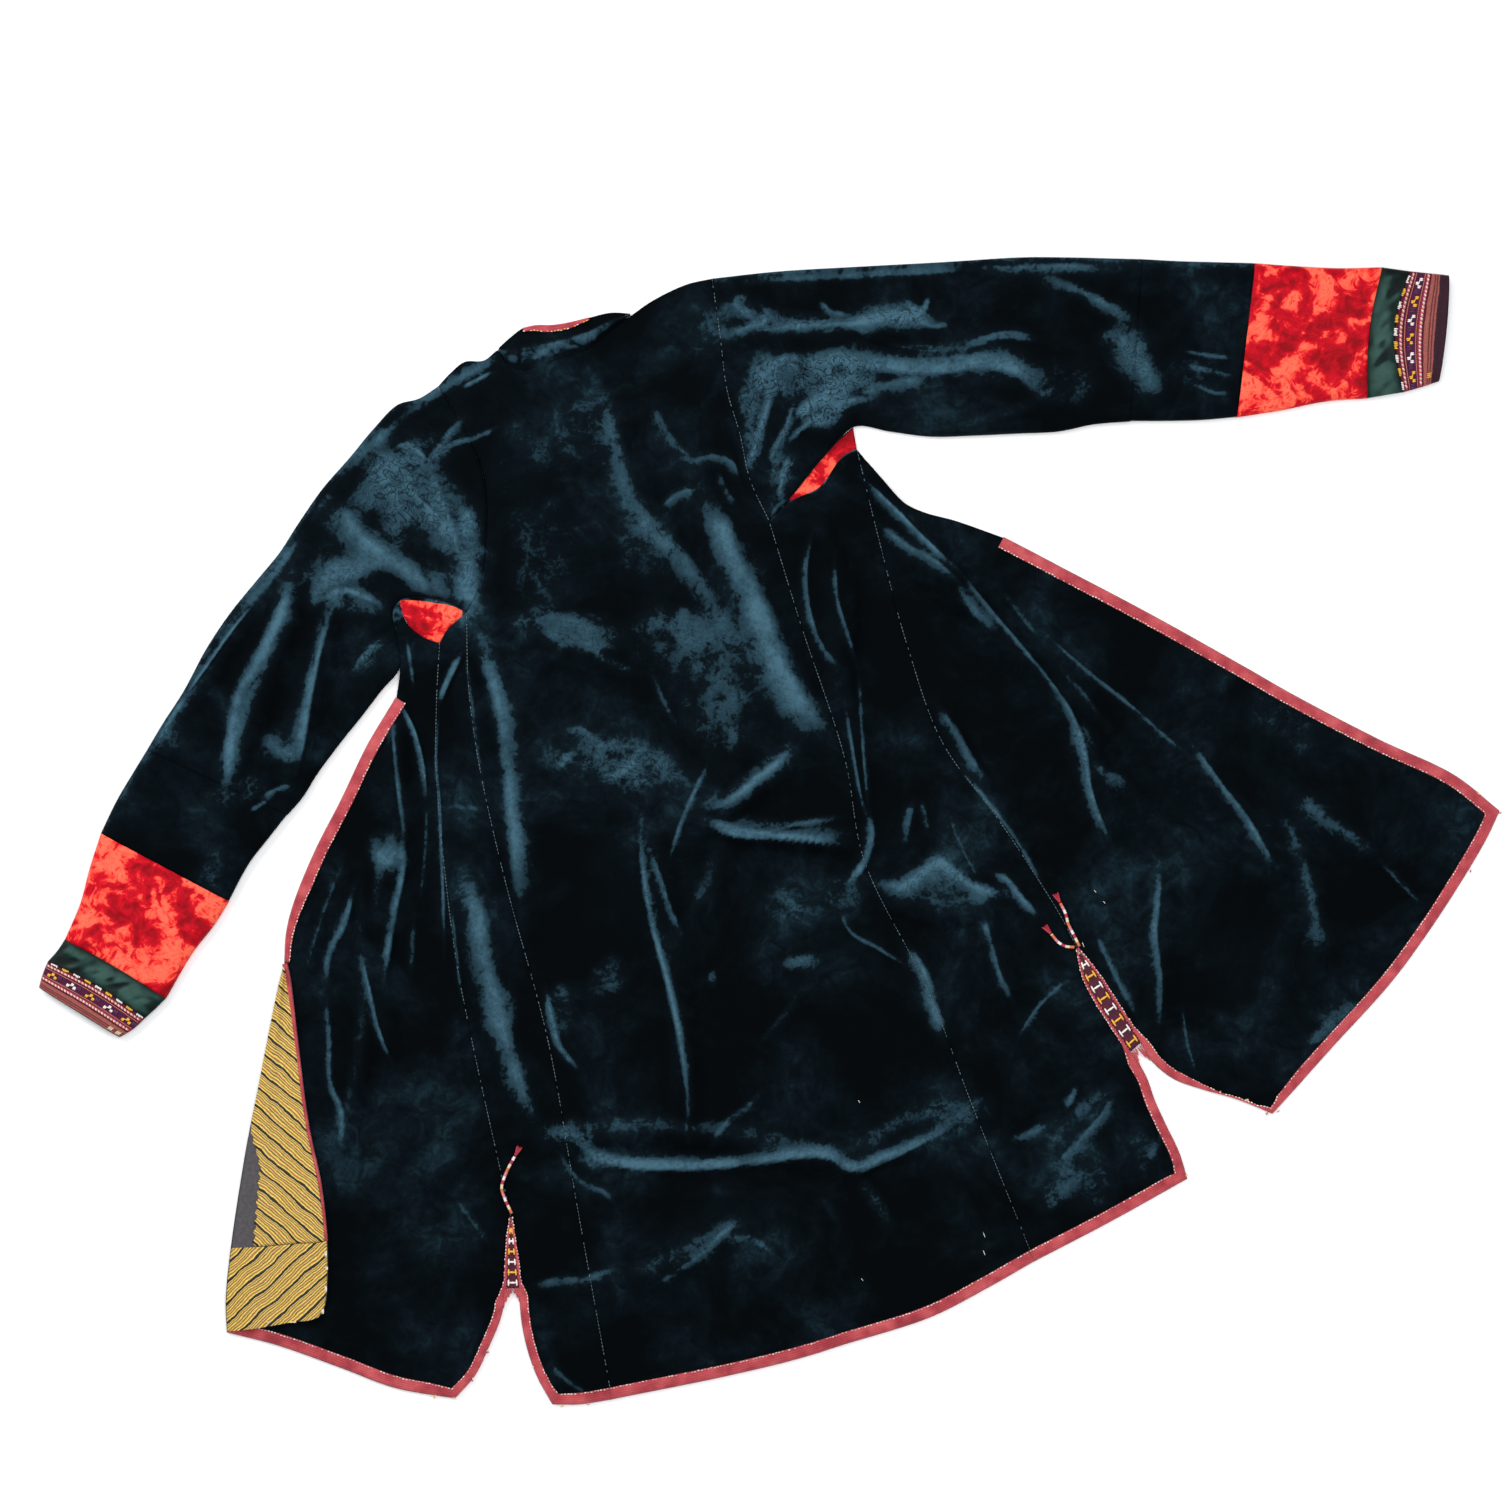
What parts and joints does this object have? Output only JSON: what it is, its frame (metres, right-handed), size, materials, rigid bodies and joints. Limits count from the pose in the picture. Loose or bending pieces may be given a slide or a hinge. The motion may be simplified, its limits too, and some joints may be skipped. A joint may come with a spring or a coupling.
{
  "type": "chapan coat",
  "caption": "Long Central Asian velvet coat lying flat, back up: fronts spread out, banded sleeves with stitched cuffs, braid-bound edges, laced side slits and a turned-back striped corner.",
  "frame": {"origin": "middle of the coat's outline as it lies, on the surface under it", "axes": "+X to the right and +Y up as the coat is seen from above with its neck at the top left, +Z up from the surface"},
  "size_m": [1.458, 1.1452, 0.0195],
  "materials": {
    "velvet_teal": "silk velvet, near black with a blue-green sheen",
    "velvet_red": "crushed velvet, crimson to salmon",
    "silk_green": "dull dark green silk, lightly gathered",
    "embroidery": "maroon ground under white, yellow and pink silk stitching",
    "braid_rose": "woven rose-red braid",
    "silk_striped": "yellow silk with fine black and brown-rose stripes",
    "lining_charcoal": "plain charcoal cotton"
  },
  "bodies": {
    "root": {"back": "velvet_teal", "gore_left": "velvet_teal", "gore_right": "velvet_teal", "front_left": "velvet_teal", "front_right": "velvet_teal", "upper_front_left": "velvet_teal", "upper_front_right": "velvet_teal", "collar": "velvet_teal", "braid_collar": "braid_rose", "gusset_left": "velvet_red", "gusset_right": "velvet_red", "flap_left": "lining_charcoal", "facing_front": "silk_striped", "facing_hem": "silk_striped", "braid_flap": "braid_rose", "braid_hem_back": "braid_rose", "braid_gore_left": "braid_rose", "braid_gore_right": "braid_rose", "braid_hem_left": "braid_rose", "braid_edge_left": "braid_rose", "braid_front_right": "braid_rose", "insert_left": "embroidery", "insert_right": "embroidery", "lace_left": "embroidery", "tassel_lace_left": "braid_rose", "lace_right_upper": "embroidery", "tassel_lace_right_upper": "braid_rose", "lace_right_lower": "embroidery", "tassel_lace_right_lower": "braid_rose", "sleeve_upper_left": "velvet_teal", "sleeve_lower_left": "velvet_teal", "band_red_left": "velvet_red", "band_green_left": "silk_green", "cuff_left": "embroidery", "sleeve_upper_right": "velvet_teal", "sleeve_lower_right": "velvet_teal", "band_red_right": "velvet_red", "band_green_right": "silk_green", "cuff_right": "embroidery"}
  },
  "joints": []
}
